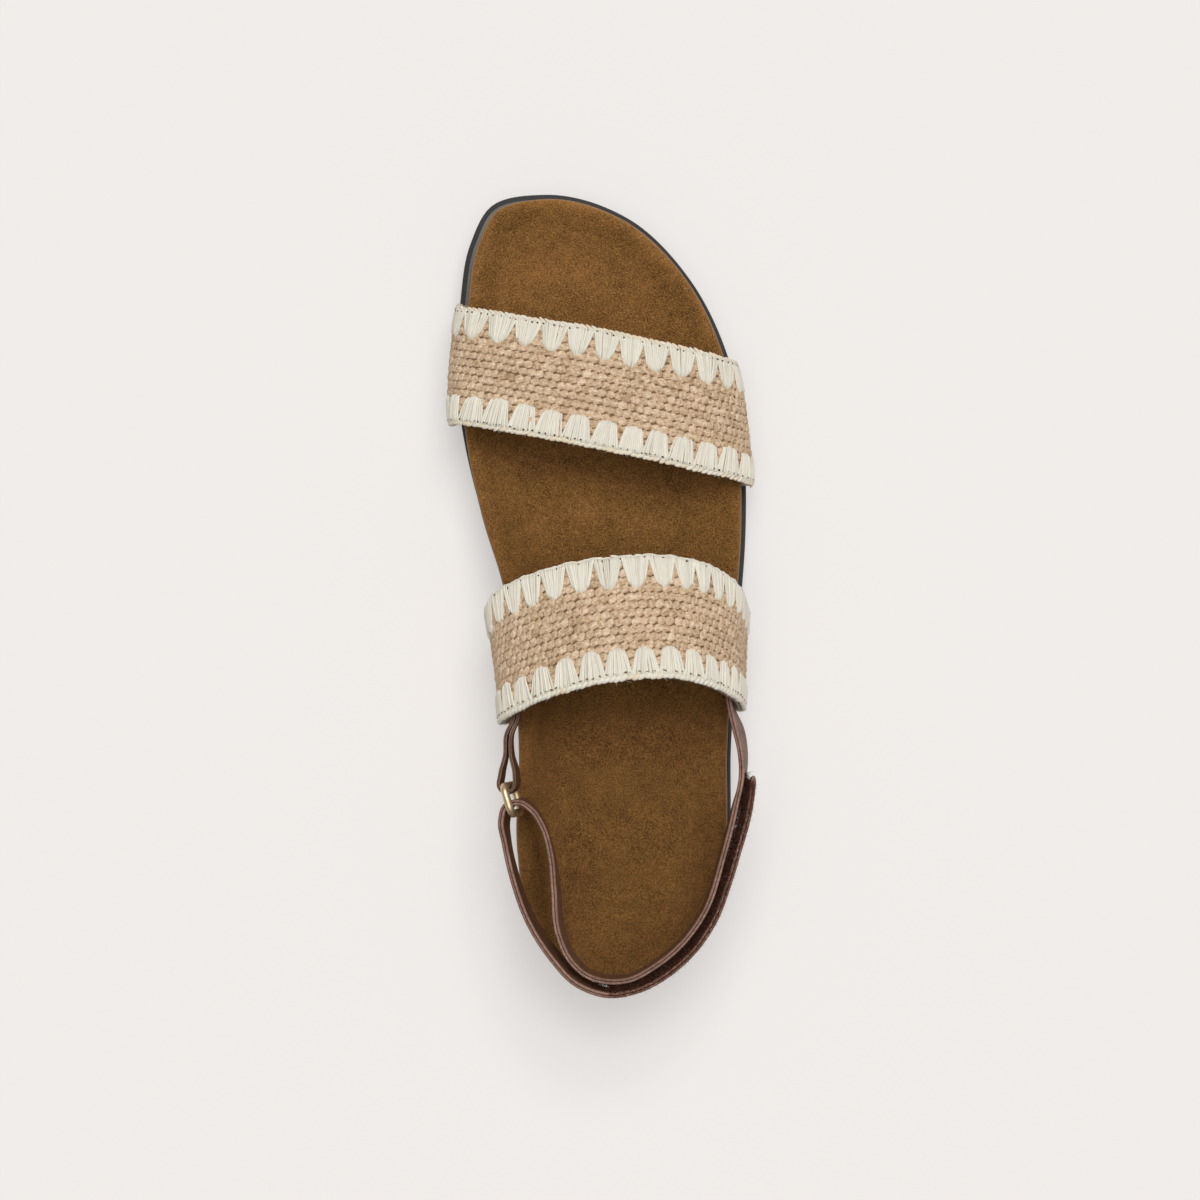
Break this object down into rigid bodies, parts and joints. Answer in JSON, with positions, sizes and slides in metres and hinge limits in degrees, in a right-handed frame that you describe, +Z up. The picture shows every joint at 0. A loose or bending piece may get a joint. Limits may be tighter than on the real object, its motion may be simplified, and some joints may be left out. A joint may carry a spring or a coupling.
{
  "type": "cork footbed sandal",
  "caption": "Right-foot open sandal with a contoured suede footbed on cork and rubber, woven straps with stitched edges, and a leather heel strap run through a metal ring.",
  "frame": {"origin": "on the floor under the middle of the sandal's box", "axes": "+Y towards the toe, +X towards the outer (little toe) side, +Z up from the floor"},
  "size_m": [0.0966, 0.2482, 0.077],
  "materials": {
    "sole_rubber": "matte foamed rubber",
    "cork": "pressed cork grain",
    "suede": "brushed suede",
    "woven_straw": "twined straw with pale stitched edges",
    "strap_leather": "smooth leather with raw edges",
    "tape_pile": "dark looped pile",
    "aged_brass": "worn antique brass"
  },
  "bodies": {
    "root": {"outsole": "sole_rubber", "cork_footbed": "cork", "suede_insole": "suede", "toe_strap": "woven_straw", "instep_strap": "woven_straw", "heel_strap": "strap_leather", "closure_tape": "tape_pile", "ring_tab": "strap_leather", "brass_ring": "aged_brass"}
  },
  "joints": []
}
